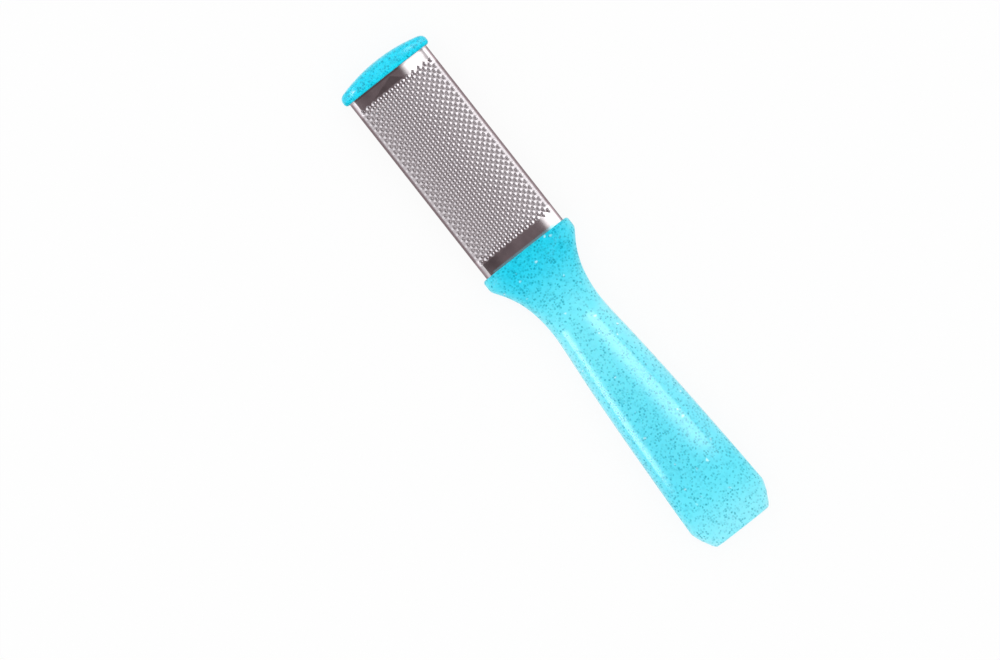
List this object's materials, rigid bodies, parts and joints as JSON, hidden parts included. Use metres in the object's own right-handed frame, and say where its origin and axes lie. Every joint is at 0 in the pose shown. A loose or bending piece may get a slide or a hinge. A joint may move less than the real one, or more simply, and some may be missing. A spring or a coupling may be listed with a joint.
{
  "type": "foot file",
  "caption": "Double-sided hand rasp for heels: a flared glossy grip, a flat head with a coarse and a fine nubbed steel plate, and an end cap.",
  "frame": {"origin": "on the surface that the tool lies on, under the middle of its box", "axes": "+Y along the tool from the butt to the tip, +Z out of the coarse plate, +X across the width"},
  "size_m": [0.0442, 0.245, 0.016],
  "materials": {
    "grip_plastic": "glossy translucent cyan with fine dark and silver glitter in it",
    "rasp_steel": "mirror-polished stainless sheet with pressed nubs",
    "core_plastic": "plain pale moulded plastic"
  },
  "bodies": {
    "root": {"handle": "grip_plastic", "core": "core_plastic", "coarse_plate": "rasp_steel", "fine_plate": "rasp_steel", "end_cap": "grip_plastic"}
  },
  "joints": []
}
